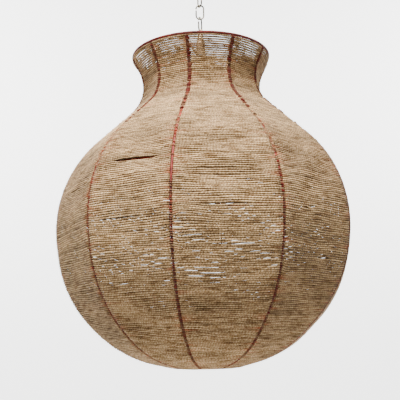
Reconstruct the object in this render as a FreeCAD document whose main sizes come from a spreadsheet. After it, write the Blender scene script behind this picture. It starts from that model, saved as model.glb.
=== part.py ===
import FreeCAD, Part
import math
import os
import Sketcher

# A pendant lantern: natural twine wound in close rows round a welded wire frame with a bulbous
# body, a narrow neck and a flared lip, hung on a short steel chain from a ceiling hook.
# Millimetres. +Z is up, and the origin is the middle of the face that meets the ceiling.
# The frame's ten ribs follow one outline of straight runs and tangent bends, bent by hand and so
# a little fuller on the +X side than on the -X side.

Vector = FreeCAD.Vector
Rotation = FreeCAD.Rotation
Placement = FreeCAD.Placement

doc = FreeCAD.newDocument("twine_lantern")

# ---------------------------------------------------------------- driving sizes

sizes = doc.addObject("Spreadsheet::Sheet", "sizes")

DRIVING_SIZES = [
    # ceiling plate and its hook
    ("plate_radius", 28, "ceiling plate, outer radius"),
    ("plate_thickness", 2.5, "ceiling plate, sheet thickness"),
    ("plate_edge_round", 1.2, "ceiling plate, rounding of its lower edge"),
    ("plate_screw_circle_radius", 19, "circle that the plate's screw holes lie on"),
    ("plate_screw_hole_radius", 2.25, "plate's screw holes, for 4 mm screws"),
    ("plate_screw_count", 3, "number of screw holes"),
    ("hook_wire_radius", 2, "hook, rod radius"),
    ("hook_shank_length", 9, "hook, straight shank below the plate"),
    ("hook_bend_radius", 9, "hook, centreline radius of its bends"),
    ("hook_bend_angle", 60, "hook, sideways turn of the shank before the bowl, degrees"),
    ("hook_tip_angle", 160, "hook, where the bowl ends, degrees from +X"),
    # chain
    ("link_wire_radius", 1.3, "chain link, wire radius"),
    ("link_bend_radius", 6.7, "chain link, centreline radius of its round ends"),
    ("link_span", 26.4, "chain link, from the wire's centre at one end to the other end's"),
    ("link_gap", 3, "chain link, open gap at its butted joint"),
    ("link_gap_height", 4.8, "chain link, height of the gap's middle above the link's middle"),
    ("swing_clearance", 0.2, "gap left between a link and what it hangs on"),
    ("lower_link_turn", 67, "lowest link, direction of its plane from +X, degrees"),
    ("middle_link_turn", 4, "middle link, direction of its plane from +X, degrees"),
    ("upper_link_turn", 118, "highest link, direction of its plane from +X, degrees"),
    # hanging loop, threaded nipple, nuts and hub
    ("eye_wire_radius", 1.4, "loop's eye, section radius"),
    ("eye_bend_radius", 4.8, "loop's eye, centreline radius"),
    ("eye_above_rim", 49.4, "eye's centre above the rim plane"),
    ("collar_radius", 8, "loop's collar, outer radius"),
    ("collar_length", 21, "loop's collar, straight part"),
    ("collar_top_radius", 3.6, "loop's collar, radius of its small end under the eye"),
    ("collar_chamfer", 1, "loop's collar, chamfer at its foot"),
    ("cord_hole_radius", 3.2, "cord inlet in the loop's side"),
    ("nipple_radius", 5, "threaded nipple, M10 outside radius"),
    ("nipple_bore_radius", 3.5, "threaded nipple, cord way"),
    ("nipple_into_collar", 14, "nipple's length inside the collar"),
    ("nipple_into_cap", 10, "nipple's length inside the lampholder's cap"),
    ("thread_clearance", 0.05, "radial gap of a threaded or seated fit"),
    ("nut_flats", 17, "hexagon nut, across its flats"),
    ("nut_thickness", 5, "hexagon nut, thickness"),
    ("nut_chamfer", 0.8, "hexagon nut, corner chamfer"),
    ("washer_radius", 12, "plain washer, outer radius"),
    ("washer_thickness", 1.2, "plain washer, thickness"),
    ("hub_radius", 17, "hub plate, outer radius"),
    ("hub_thickness", 3, "hub plate, thickness"),
    ("arm_wire_radius", 2, "spider arm, rod radius"),
    ("arm_count", 3, "number of spider arms"),
    ("arm_turn", 15, "direction of the first spider arm, degrees from +X"),
    # wire frame
    ("rib_count", 10, "number of ribs"),
    ("first_rib_angle", -98.7, "even place of the first rib, degrees from +X"),
    ("widest_lean", 2.1, "furthest that a rib stands from its even place, degrees"),
    ("rib_wire_radius", 1.65, "ribs, hoop and base ring, wire radius"),
    ("rim_wire_radius", 2.1, "rim ring, wire radius"),
    ("weld_depth", 0.3, "how far welded wires sink into each other"),
    ("rim_radius", 118.5, "rim ring, centreline radius"),
    ("rim_height", 305.5, "rim plane above the widest level"),
    ("neck_corner_radius", 85, "outline corner at the neck, distance from the axis"),
    ("neck_corner_height", 236, "outline corner at the neck, above the widest level"),
    ("neck_bend", 66, "radius of the outline's bend at the neck"),
    ("shoulder_corner_radius", 259, "outline corner at the shoulder, distance from the axis"),
    ("shoulder_corner_height", 75, "outline corner at the shoulder, above the widest level"),
    ("shoulder_bend", 199, "radius of the outline's bend at the shoulder"),
    ("flank_corner_radius", 234.5, "outline corner at the flank, distance from the axis"),
    ("flank_corner_height", -108, "outline corner at the flank, above the widest level"),
    ("flank_bend", 196, "radius of the outline's bend at the flank"),
    ("base_corner_radius", 136, "outline corner at the base, distance from the axis"),
    ("base_corner_height", -204, "outline corner at the base, above the widest level"),
    ("base_bend", 189, "radius of the outline's bend at the base"),
    ("base_ring_radius", 48, "base ring, centreline radius"),
    ("base_ring_height", -225, "base ring, above the widest level"),
    ("hoop_height", 78.5, "belly hoop, above the widest level"),
    # how far the hand-bent corners stand out and up on the +X side, and in and down on the -X side
    ("neck_skew_out", 2, "neck corner, outwards"),
    ("neck_skew_up", 3, "neck corner, upwards"),
    ("shoulder_skew_out", 3, "shoulder corner, outwards"),
    ("shoulder_skew_up", -2, "shoulder corner, upwards"),
    ("flank_skew_out", 5, "flank corner, outwards"),
    ("flank_skew_up", 6.5, "flank corner, upwards"),
    ("base_skew_out", 0, "base corner, outwards"),
    ("base_skew_up", 1.5, "base corner, upwards"),
    # twine
    ("twine_thickness", 3, "thickness of the wound twine"),
    ("twine_gap", 0.3, "gap between the twine and the wire beside it"),
    # lampholder
    ("cap_top_radius", 11, "lampholder cap, radius of its top face"),
    ("cap_length", 18, "lampholder cap, length"),
    ("cap_wall", 2, "lampholder cap and shell, wall"),
    ("shell_radius", 20, "lampholder shell, outer radius"),
    ("shell_length", 38, "lampholder shell, length"),
    ("insert_length", 11, "lampholder's ceramic insert, length"),
    ("insert_gap", 0.3, "gap between the insert and the shell"),
    ("insert_wire_hole_radius", 1.8, "insert's two wire holes"),
    ("insert_wire_hole_offset", 9, "insert's wire holes, distance from the axis"),
    ("terminal_radius", 2, "terminal screw, radius"),
    ("terminal_length", 4, "terminal screw, length"),
    ("sleeve_bore_radius", 13.35, "screw sleeve, bore radius for an E27 cap"),
    ("sleeve_wall", 0.5, "screw sleeve, wall"),
    ("sleeve_length", 24, "screw sleeve, length"),
    ("spring_contact_width", 5, "centre contact, strip width"),
    ("spring_contact_length", 14, "centre contact, strip length"),
    ("spring_contact_thickness", 1, "centre contact, strip thickness"),
    ("spring_contact_drop", 2.5, "centre contact, height of its nose below the strip"),
    # bulb
    ("bulb_contact_gap", 0.3, "gap between the holder's contact and the bulb's"),
    ("bulb_contact_radius", 4.5, "bulb's tip contact, radius"),
    ("bulb_contact_length", 1.5, "bulb's tip contact, length"),
    ("bulb_insulator_length", 4, "bulb's insulator, length"),
    ("bulb_cap_radius", 13.1, "bulb's E27 cap, outer radius"),
    ("bulb_cap_length", 22, "bulb's cap, length"),
    ("bulb_cap_wall", 0.6, "bulb's cap, wall"),
    ("bulb_radius", 30, "bulb's round glass, outer radius"),
    ("bulb_neck_radius", 12.2, "bulb's glass neck, outer radius"),
    ("bulb_neck_in_cap", 3, "length of the glass neck inside the cap"),
    ("bulb_centre_drop", 46, "glass centre below the end of the cap"),
    ("bulb_wall", 1, "bulb's glass, wall"),
]

for row, (name, number, meaning) in enumerate(DRIVING_SIZES, start=1):
    sizes.set("A%d" % row, meaning)
    sizes.set("B%d" % row, str(number))
    sizes.setAlias("B%d" % row, name)

# ---------------------------------------------------------------- levels worked out from the sizes

levels = doc.addObject("Spreadsheet::Sheet", "levels")


LEVELS = [
    ("hook_foot", "0 - sizes.plate_thickness - sizes.hook_shank_length"),
    ("hook_slope", "sin(sizes.hook_bend_angle) / (1 - cos(sizes.hook_bend_angle))"),
    ("hook_eye", "hook_foot - sizes.hook_bend_radius * hook_slope"),
    ("hook_bowl", "hook_eye - sizes.hook_bend_radius"),
    ("link_step", "2 * sizes.link_wire_radius + sizes.swing_clearance"),
    ("upper_link", "hook_bowl + sizes.hook_wire_radius + sizes.link_wire_radius + sizes.swing_clearance"),
    ("middle_link", "upper_link - sizes.link_span + link_step"),
    ("lower_link", "middle_link - sizes.link_span + link_step"),
    ("chain_end", "lower_link - sizes.link_span"),
    ("eye_top", "chain_end + sizes.link_wire_radius + sizes.swing_clearance + sizes.eye_wire_radius"),
    ("eye_middle", "eye_top - sizes.eye_bend_radius"),
    ("rim_level", "eye_middle - sizes.eye_above_rim"),
    ("widest_level", "rim_level - sizes.rim_height"),
    ("base_level", "widest_level + sizes.base_ring_height"),
    ("hoop_level", "widest_level + sizes.hoop_height"),
    ("hub_foot", "rim_level - sizes.hub_thickness / 2"),
    ("hub_top", "rim_level + sizes.hub_thickness / 2"),
    ("upper_nut_foot", "hub_top + sizes.washer_thickness"),
    ("collar_foot", "upper_nut_foot + sizes.nut_thickness"),
    ("collar_shoulder", "collar_foot + sizes.collar_length"),
    ("collar_tip", "eye_middle - sizes.eye_bend_radius"),
    ("nipple_top", "collar_foot + sizes.nipple_into_collar"),
    ("lower_washer_foot", "hub_foot - sizes.washer_thickness"),
    ("lower_nut_foot", "lower_washer_foot - sizes.nut_thickness"),
    ("cap_top", "lower_nut_foot"),
    ("nipple_foot", "cap_top - sizes.nipple_into_cap"),
    ("cap_foot", "cap_top - sizes.cap_length"),
    ("shell_foot", "cap_foot - sizes.shell_length"),
    ("insert_foot", "cap_foot - sizes.insert_length"),
    ("sleeve_foot", "insert_foot - sizes.sleeve_length"),
    ("contact_nose", "insert_foot - sizes.spring_contact_thickness - sizes.spring_contact_drop"),
    ("bulb_tip", "contact_nose - sizes.bulb_contact_gap"),
    ("bulb_insulator_top", "bulb_tip - sizes.bulb_contact_length"),
    ("bulb_cap_top", "bulb_insulator_top - sizes.bulb_insulator_length"),
    ("bulb_cap_foot", "bulb_cap_top - sizes.bulb_cap_length"),
    ("bulb_neck_top", "bulb_cap_foot + sizes.bulb_neck_in_cap"),
    ("bulb_middle", "bulb_cap_foot - sizes.bulb_centre_drop"),
]

for row, (name, formula) in enumerate(LEVELS, start=1):
    levels.set("A%d" % row, name.replace("_", " "))
    levels.set("B%d" % row, "=" + formula)
    levels.setAlias("B%d" % row, name)

doc.recompute()


def number(expression):
    """An expression's value, as a plain number in millimetres or degrees."""
    worked_out = levels.evalExpression(expression)
    return float(getattr(worked_out, "Value", worked_out))


def bind(item, **expressions):
    """Ties an object's properties to expressions. A double underscore stands for a dot."""
    for path, expression in expressions.items():
        item.setExpression(path.replace("__", "."), expression)


# ---------------------------------------------------------------- sketches and solids

parts = []


def keep(item, label):
    """Makes an object a sub-part, with the label that names its file."""
    item.Label = label
    parts.append(item)
    return item


def primitive(kind, name, **expressions):
    """A Part primitive with its sizes tied to the sheets."""
    item = doc.addObject("Part::" + kind, name)
    bind(item, **expressions)
    return item


def cylinder(name, radius, height, foot, **more):
    """An upright cylinder on the Z axis."""
    return primitive("Cylinder", name, Radius=radius, Height=height, Placement__Base__z=foot, **more)


def combine(kind, name, first, *others):
    """A boolean of two objects, or a union of several."""
    if kind == "MultiFuse":
        item = doc.addObject("Part::MultiFuse", name)
        item.Shapes = [first, *others]
        return item
    item = doc.addObject("Part::" + kind, name)
    item.Base = first
    item.Tool = others[0]
    return item


def new_body(label, level="0"):
    """An empty body standing at a level on the Z axis, kept as a sub-part."""
    body = doc.addObject("PartDesign::Body", label)
    bind(body, Placement__Base__z=level)
    return keep(body, label)


def sketch_in(body, role, name):
    """A sketch on one of a body's own origin planes."""
    sketch = body.newObject("Sketcher::SketchObject", name)
    plane = next(item for item in body.Origin.OriginFeatures if item.Role == role)
    sketch.AttachmentSupport = [(plane, "")]
    sketch.MapMode = "FlatFace"
    return sketch


def fix_coordinate(sketch, kind, name, element, end, expression):
    """Holds one coordinate of a point at an expression's value, or on the axis if that is 0."""
    if expression == "0":
        axis = -2 if kind == "DistanceX" else -1
        sketch.addConstraint(Sketcher.Constraint("PointOnObject", element, end, axis))
        return
    distance = Sketcher.Constraint(kind, -1, 1, element, end, number(expression))
    index = sketch.addConstraint(distance)
    sketch.renameConstraint(index, name)
    sketch.setExpression("Constraints." + name, expression)


def draw_polygon(sketch, corners):
    """A closed outline whose corners are pairs of expressions."""
    points = [Vector(number(x), number(y), 0) for x, y in corners]
    count = len(points)
    for index in range(count):
        sketch.addGeometry(Part.LineSegment(points[index], points[(index + 1) % count]))
    for index in range(count):
        following = (index + 1) % count
        sketch.addConstraint(Sketcher.Constraint("Coincident", index, 2, following, 1))
    for index, (x, y) in enumerate(corners):
        fix_coordinate(sketch, "DistanceX", "across_%d" % index, index, 1, x)
        fix_coordinate(sketch, "DistanceY", "along_%d" % index, index, 1, y)


def draw_circle(sketch, radius, x="0", y="0", name="radius"):
    """A circle whose radius and centre are expressions."""
    centre = Vector(number(x), number(y), 0)
    element = sketch.addGeometry(Part.Circle(centre, Vector(0, 0, 1), number(radius)))
    index = sketch.addConstraint(Sketcher.Constraint("Radius", element, number(radius)))
    sketch.renameConstraint(index, name)
    sketch.setExpression("Constraints." + name, radius)
    fix_coordinate(sketch, "DistanceX", name + "_x", element, 3, x)
    fix_coordinate(sketch, "DistanceY", name + "_y", element, 3, y)


def pad(body, sketch, length):
    """Pads a sketch upwards by an expression."""
    feature = body.newObject("PartDesign::Pad", body.Name + "_pad")
    feature.Profile = sketch
    bind(feature, Length=length)
    return feature


def cut_through(body, sketch, name):
    """Pockets a sketch through all of the body, both ways."""
    feature = body.newObject("PartDesign::Pocket", body.Name + "_" + name)
    feature.Profile = sketch
    feature.Type = 1
    feature.Midplane = True
    return feature


def turned_body(label, corners, level="0"):
    """A body turned about the Z axis: corners are pairs of radius and height expressions."""
    body = new_body(label, level)
    sketch = sketch_in(body, "XZ_Plane", label + "_section")
    draw_polygon(sketch, corners)
    turning = body.newObject("PartDesign::Revolution", label + "_turning")
    turning.Profile = sketch
    turning.ReferenceAxis = (sketch, ["V_Axis"])
    turning.Angle = 360
    return body


def circle_edges(shape, radius, level):
    """Names of a shape's full circles of that radius at that height."""
    names = []
    for index, edge in enumerate(shape.Edges, start=1):
        curve = edge.Curve
        if isinstance(curve, Part.Circle) and abs(curve.Radius - radius) < 1e-4:
            if abs(curve.Center.z - level) < 1e-4:
                names.append("Edge%d" % index)
    return names


# ---------------------------------------------------------------- ceiling plate and hook


def make_ceiling_plate():
    """A flat round plate with a rounded lower edge, three screw holes and a bore for the hook."""
    body = new_body("ceiling_plate", "0 - sizes.plate_thickness")
    disc = sketch_in(body, "XY_Plane", "plate_disc")
    draw_circle(disc, "sizes.plate_radius")
    pad(body, disc, "sizes.plate_thickness")
    bore = sketch_in(body, "XY_Plane", "plate_bore")
    draw_circle(bore, "sizes.hook_wire_radius + sizes.thread_clearance")
    cut_through(body, bore, "bore_cut")
    hole = sketch_in(body, "XY_Plane", "plate_hole")
    draw_circle(hole, "sizes.plate_screw_hole_radius", y="sizes.plate_screw_circle_radius")
    hole_cut = cut_through(body, hole, "hole_cut")
    doc.recompute()
    pattern = body.newObject("PartDesign::PolarPattern", "plate_hole_pattern")
    pattern.Originals = [hole_cut]
    pattern.Axis = (hole, ["N_Axis"])
    pattern.Angle = 360
    bind(pattern, Occurrences="sizes.plate_screw_count")
    body.Tip = pattern
    doc.recompute()
    edges = circle_edges(pattern.Shape, number("sizes.plate_radius"), 0)
    rounding = body.newObject("PartDesign::Fillet", "plate_rounding")
    rounding.Base = (pattern, edges)
    bind(rounding, Radius="sizes.plate_edge_round")
    body.Tip = rounding


def arc(centre, radius, start, end):
    """An arc in a sketch, anticlockwise from start to end, in degrees."""
    circle = Part.Circle(centre, Vector(0, 0, 1), radius)
    return Part.ArcOfCircle(circle, math.radians(start), math.radians(end))


def make_ceiling_hook():
    """A round rod: a shank through the plate, a sideways bend and a bowl under the shank."""
    body = new_body("ceiling_hook")
    path = sketch_in(body, "XZ_Plane", "hook_path")
    radius = number("sizes.hook_bend_radius")
    turn = number("sizes.hook_bend_angle")
    tip = number("sizes.hook_tip_angle")
    foot = number("levels.hook_foot")
    middle = Vector(0, number("levels.hook_eye"), 0)
    # the sideways bend is as tight as brings the bowl's middle back onto the axis
    side_radius = radius * math.cos(math.radians(turn)) / (1 - math.cos(math.radians(turn)))
    side = Vector(side_radius, foot, 0)
    path.addGeometry(Part.LineSegment(Vector(0, 0, 0), Vector(0, foot, 0)))
    path.addGeometry(arc(side, side_radius, 180, 180 + turn))
    path.addGeometry(arc(middle, radius, tip, 360 + turn))
    constrain = path.addConstraint
    constrain(Sketcher.Constraint("Coincident", 0, 1, -1, 1))
    constrain(Sketcher.Constraint("Vertical", 0))
    constrain(Sketcher.Constraint("Tangent", 0, 2, 1, 1))
    constrain(Sketcher.Constraint("Tangent", 1, 2, 2, 2))
    constrain(Sketcher.Constraint("PointOnObject", 2, 3, -2))
    fix_coordinate(path, "DistanceY", "foot", 0, 2, "levels.hook_foot")
    fix_coordinate(path, "DistanceY", "middle", 2, 3, "levels.hook_eye")
    bowl = constrain(Sketcher.Constraint("Radius", 2, radius))
    path.renameConstraint(bowl, "bowl")
    path.setExpression("Constraints.bowl", "sizes.hook_bend_radius")
    tip_x = "sizes.hook_bend_radius * cos(sizes.hook_tip_angle)"
    fix_coordinate(path, "DistanceX", "tip", 2, 1, tip_x)
    section = sketch_in(body, "XY_Plane", "hook_section")
    draw_circle(section, "sizes.hook_wire_radius")
    bending = body.newObject("PartDesign::AdditivePipe", "hook_bending")
    bending.Profile = section
    bending.Spine = (path, ["Edge1", "Edge2", "Edge3"])


# ---------------------------------------------------------------- chain


def make_chain_link(label, level, turn):
    """A link of bent wire, in the XZ plane before its turn, with an open butted joint."""
    body = new_body(label, level)
    body.Placement.Rotation = Rotation(Vector(0, 0, 1), number(turn))
    path = sketch_in(body, "XZ_Plane", label + "_path")
    bend = number("sizes.link_bend_radius")
    span = number("sizes.link_span")
    gap_middle = -span / 2 + number("sizes.link_gap_height")
    half_gap = number("sizes.link_gap") / 2
    upper = Vector(0, -bend, 0)
    lower = Vector(0, bend - span, 0)
    path.addGeometry(Part.LineSegment(Vector(-bend, gap_middle + half_gap, 0), Vector(-bend, -bend, 0)))
    path.addGeometry(arc(upper, bend, 0, 180))
    path.addGeometry(Part.LineSegment(Vector(bend, -bend, 0), Vector(bend, bend - span, 0)))
    path.addGeometry(arc(lower, bend, 180, 360))
    gap_foot = Vector(-bend, gap_middle - half_gap, 0)
    path.addGeometry(Part.LineSegment(Vector(-bend, bend - span, 0), gap_foot))
    constrain = path.addConstraint
    constrain(Sketcher.Constraint("Tangent", 0, 2, 1, 2))
    constrain(Sketcher.Constraint("Tangent", 1, 1, 2, 1))
    constrain(Sketcher.Constraint("Tangent", 2, 2, 3, 2))
    constrain(Sketcher.Constraint("Tangent", 3, 1, 4, 1))
    constrain(Sketcher.Constraint("Vertical", 0))
    constrain(Sketcher.Constraint("Vertical", 4))
    constrain(Sketcher.Constraint("PointOnObject", 1, 3, -2))
    constrain(Sketcher.Constraint("PointOnObject", 3, 3, -2))
    fix_coordinate(path, "DistanceY", "upper", 1, 3, "-sizes.link_bend_radius")
    fix_coordinate(path, "DistanceY", "lower", 3, 3, "sizes.link_bend_radius - sizes.link_span")
    size = constrain(Sketcher.Constraint("Radius", 1, bend))
    path.renameConstraint(size, "bend")
    path.setExpression("Constraints.bend", "sizes.link_bend_radius")
    gap = "sizes.link_gap_height - sizes.link_span / 2"
    fix_coordinate(path, "DistanceY", "gap_top", 0, 1, gap + " + sizes.link_gap / 2")
    fix_coordinate(path, "DistanceY", "gap_foot", 4, 2, gap + " - sizes.link_gap / 2")
    section = sketch_in(body, "XY_Plane", label + "_section")
    section.AttachmentOffset = Placement(Vector(0, 0, gap_middle + half_gap), Rotation())
    section.setExpression("AttachmentOffset.Base.z", gap + " + sizes.link_gap / 2")
    draw_circle(section, "sizes.link_wire_radius", x="-sizes.link_bend_radius")
    bending = body.newObject("PartDesign::AdditivePipe", label + "_bending")
    bending.Profile = section
    bending.Spine = (path, ["Edge%d" % index for index in range(1, 6)])


# ---------------------------------------------------------------- hanging loop, nipple and hub


def make_hanging_loop():
    """A turned collar, tapped from below, with a round eye on top and a cord inlet in its side."""
    collar = doc.addObject("Part::Cylinder", "collar_barrel")
    bind(collar, Radius="sizes.collar_radius", Height="sizes.collar_length")
    bind(collar, Placement__Base__z="levels.collar_foot")
    chamfered = doc.addObject("Part::Chamfer", "collar_chamfered")
    chamfered.Base = collar
    doc.recompute()
    edge = circle_edges(collar.Shape, collar.Radius.Value, number("levels.collar_foot"))[0]
    chamfer = number("sizes.collar_chamfer")
    chamfered.Edges = [(int(edge[4:]), chamfer, chamfer)]
    taper = primitive(
        "Cone",
        "collar_taper",
        Radius1="sizes.collar_radius",
        Radius2="sizes.collar_top_radius",
        Height="levels.collar_tip - levels.collar_shoulder",
        Placement__Base__z="levels.collar_shoulder",
    )
    eye = primitive(
        "Torus",
        "loop_eye",
        Radius1="sizes.eye_bend_radius",
        Radius2="sizes.eye_wire_radius",
        Placement__Base__z="levels.eye_middle",
    )
    eye.Placement.Rotation = Rotation(Vector(1, 0, 0), 90)
    solid = combine("MultiFuse", "loop_solid", chamfered, taper, eye)
    bore = cylinder(
        "collar_bore",
        "sizes.nipple_radius + sizes.thread_clearance",
        "sizes.nipple_into_collar + 1",
        "levels.collar_foot - 1",
    )
    rise = cylinder(
        "cord_rise",
        "sizes.nipple_bore_radius",
        "2 * sizes.cord_hole_radius + 1",
        "levels.nipple_top - 0.2",
    )
    side = doc.addObject("Part::Cylinder", "cord_inlet")
    bind(side, Radius="sizes.cord_hole_radius", Height="2 * sizes.collar_radius")
    bind(side, Placement__Base__z="levels.nipple_top + sizes.cord_hole_radius + 0.4")
    side.Placement.Rotation = Rotation(Vector(1, 0, 0), -90)
    hollow = combine("MultiFuse", "loop_hollow", bore, rise, side)
    keep(combine("Cut", "hanging_loop", solid, hollow), "hanging_loop")


def make_nipple():
    """A length of hollow threaded rod, through the collar, the nuts, the hub and the cap."""
    length = "levels.nipple_top - levels.nipple_foot"
    rod = cylinder("nipple_rod", "sizes.nipple_radius", length, "levels.nipple_foot")
    way = cylinder("nipple_way", "sizes.nipple_bore_radius", length, "levels.nipple_foot")
    keep(combine("Cut", "threaded_nipple", rod, way), "threaded_nipple")


def make_nut(label, foot):
    """A hexagon nut with its corners chamfered and a plain bore at the thread's outside size."""
    blank = primitive(
        "Prism",
        label + "_blank",
        Circumradius="sizes.nut_flats / 2 / cos(30)",
        Height="sizes.nut_thickness",
        Placement__Base__z=foot,
    )
    blank.Polygon = 6
    corner = "sizes.nut_flats / 2 / cos(30)"
    reach = "(%s + sizes.nut_thickness / 2 - sizes.nut_chamfer)" % corner
    lower = primitive(
        "Cone",
        label + "_lower_cone",
        Radius1=corner + " - sizes.nut_chamfer",
        Radius2=reach,
        Height="sizes.nut_thickness / 2",
        Placement__Base__z=foot,
    )
    upper = primitive(
        "Cone",
        label + "_upper_cone",
        Radius1=reach,
        Radius2=corner + " - sizes.nut_chamfer",
        Height="sizes.nut_thickness / 2",
        Placement__Base__z=foot + " + sizes.nut_thickness / 2",
    )
    cones = combine("MultiFuse", label + "_cones", lower, upper)
    chamfered = combine("Common", label + "_chamfered", blank, cones)
    bore = cylinder(
        label + "_bore",
        "sizes.nipple_radius + sizes.thread_clearance",
        "sizes.nut_thickness + 2",
        foot + " - 1",
    )
    keep(combine("Cut", label, chamfered, bore), label)


def make_washer(label, foot):
    """A plain washer on the nipple."""
    body = new_body(label, foot)
    ring = sketch_in(body, "XY_Plane", label + "_ring")
    draw_circle(ring, "sizes.washer_radius", name="outside")
    draw_circle(ring, "sizes.nipple_radius + sizes.thread_clearance", name="bore")
    pad(body, ring, "sizes.washer_thickness")


def make_hub():
    """A round plate with the nipple's bore, in the rim plane."""
    body = new_body("hub_plate", "levels.hub_foot")
    disc = sketch_in(body, "XY_Plane", "hub_disc")
    draw_circle(disc, "sizes.hub_radius", name="outside")
    draw_circle(disc, "sizes.nipple_radius + sizes.thread_clearance", name="bore")
    pad(body, disc, "sizes.hub_thickness")


def make_arms():
    """Straight rods from the hub to the rim ring, welded at both ends."""
    count = int(number("sizes.arm_count"))
    start = "sizes.hub_radius - sizes.weld_depth"
    reach = "sizes.rim_radius - sizes.rim_wire_radius + sizes.weld_depth"
    for index in range(count):
        label = "spider_arm_%d" % (index + 1)
        arm = doc.addObject("Part::Cylinder", label)
        angle = number("sizes.arm_turn") + 360 * index / count
        outwards = Rotation(Vector(0, 0, 1), angle).multVec(Vector(1, 0, 0))
        arm.Placement = Placement(Vector(0, 0, 0), Rotation(Vector(0, 0, 1), outwards))
        turn = "(sizes.arm_turn + 360 * %d / sizes.arm_count)" % index
        bind(arm, Radius="sizes.arm_wire_radius", Height="%s - (%s)" % (reach, start))
        bind(arm, Placement__Base__x="(%s) * cos(%s)" % (start, turn))
        bind(arm, Placement__Base__y="(%s) * sin(%s)" % (start, turn))
        bind(arm, Placement__Base__z="levels.rim_level")
        keep(arm, label)


# ---------------------------------------------------------------- wire frame

# Ribs are set by hand, so each stands a little off its even place, by these degrees.
RIB_LEANS = (-2.1, -1.0, -1.7, 0.0, -0.5, 0.4, -0.6, 0.5, -0.4, 1.2)

BENDS = ("neck", "shoulder", "flank", "base")


def rib_angle(index):
    """A rib's place round the Z axis, in degrees from +X."""
    even = number("sizes.first_rib_angle") + 360 * index / number("sizes.rib_count")
    return even + RIB_LEANS[index % len(RIB_LEANS)]


def outline_corners(angle):
    """Expressions of the outline's corners at an angle: rim, the four bends, base ring."""
    corners = [("sizes.rim_radius", "sizes.rim_height")]
    for name in BENDS:
        out = "sizes.%s_corner_radius + sizes.%s_skew_out * cos(%.3f)" % (name, name, angle)
        up = "sizes.%s_corner_height + sizes.%s_skew_up * cos(%.3f)" % (name, name, angle)
        corners.append((out, up))
    corners.append(("sizes.base_ring_radius", "sizes.base_ring_height"))
    return corners


def pulled_back(corner, towards, gap):
    """Expressions of the point at a gap from one corner of the outline towards the next one."""
    across = "((%s) - (%s))" % (towards[0], corner[0])
    along = "((%s) - (%s))" % (towards[1], corner[1])
    share = "(%s) / sqrt(%s^2 + %s^2)" % (gap, across, along)
    return "%s + %s * %s" % (corner[0], across, share), "%s + %s * %s" % (corner[1], along, share)


def bend_shares(points, bends):
    """The share of each bend's radius that its runs leave room for: 1 where all of it fits."""
    reaches = [0.0]
    for index, bend in enumerate(bends, start=1):
        back = points[index - 1] - points[index]
        ahead = points[index + 1] - points[index]
        reaches.append(bend / math.tan(back.getAngle(ahead) / 2))
    reaches.append(0.0)
    room = []
    for index in range(len(points) - 1):
        run = (points[index + 1] - points[index]).Length
        room.append(min(1.0, 0.98 * run / (reaches[index] + reaches[index + 1])))
    return [min(room[index], room[index + 1]) for index in range(len(bends))]


def draw_outline(name, angle, top_gap, foot_gap):
    """A sketch of the body's outline at a rib's angle, from below the rim ring to before the base ring."""
    sketch = doc.addObject("Sketcher::SketchObject", name)
    sketch.Placement.Rotation = Rotation(Vector(1, 0, 0), 90)
    bind(sketch, Placement__Base__z="levels.widest_level")
    corners = outline_corners(angle)
    corners[0] = pulled_back(corners[0], corners[1], top_gap)
    corners[-1] = pulled_back(corners[-1], corners[-2], foot_gap)
    points = [Vector(number(x), number(y), 0) for x, y in corners]
    shares = bend_shares(points, [number("sizes.%s_bend" % item) for item in BENDS])
    radii = ["sizes.%s_bend * %.6f" % pair for pair in zip(BENDS, shares)]
    line_start = points[0]
    turns = []
    for index, radius in enumerate(radii, start=1):
        bend = number(radius)
        back = (points[index - 1] - points[index]).normalize()
        ahead = (points[index + 1] - points[index]).normalize()
        half = back.getAngle(ahead) / 2
        entry = points[index] + back * (bend / math.tan(half))
        leave = points[index] + ahead * (bend / math.tan(half))
        centre = points[index] + (back + ahead).normalize() * (bend / math.sin(half))
        line = sketch.addGeometry(Part.LineSegment(line_start, entry))
        first, last = [math.degrees(math.atan2((p - centre).y, (p - centre).x)) for p in (entry, leave)]
        sweep = (last - first + 180) % 360 - 180
        if sweep > 0:
            turn = sketch.addGeometry(arc(centre, bend, first, first + sweep))
        else:
            turn = sketch.addGeometry(arc(centre, bend, first + sweep, first))
        turns.append((line, turn, (1, 2) if sweep > 0 else (2, 1)))
        line_start = leave
    last_line = sketch.addGeometry(Part.LineSegment(line_start, points[-1]))
    constrain = sketch.addConstraint
    for index, (line, turn, ends) in enumerate(turns):
        following = turns[index + 1][0] if index + 1 < len(turns) else last_line
        constrain(Sketcher.Constraint("Tangent", line, 2, turn, ends[0]))
        constrain(Sketcher.Constraint("Tangent", turn, ends[1], following, 1))
        label = BENDS[index]
        bend = constrain(Sketcher.Constraint("Radius", turn, number(radii[index])))
        sketch.renameConstraint(bend, label + "_bend")
        sketch.setExpression("Constraints.%s_bend" % label, radii[index])
        corner = sketch.addGeometry(Part.Point(points[index + 1]), True)
        constrain(Sketcher.Constraint("PointOnObject", corner, 1, line))
        constrain(Sketcher.Constraint("PointOnObject", corner, 1, following))
        across, along = corners[index + 1]
        fix_coordinate(sketch, "DistanceX", label + "_across", corner, 1, across)
        fix_coordinate(sketch, "DistanceY", label + "_along", corner, 1, along)
    for label, element, end, (across, along) in (
        ("top", 0, 1, corners[0]),
        ("foot", last_line, 2, corners[-1]),
    ):
        fix_coordinate(sketch, "DistanceX", label + "_across", element, end, across)
        fix_coordinate(sketch, "DistanceY", label + "_along", element, end, along)
    return sketch


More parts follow.
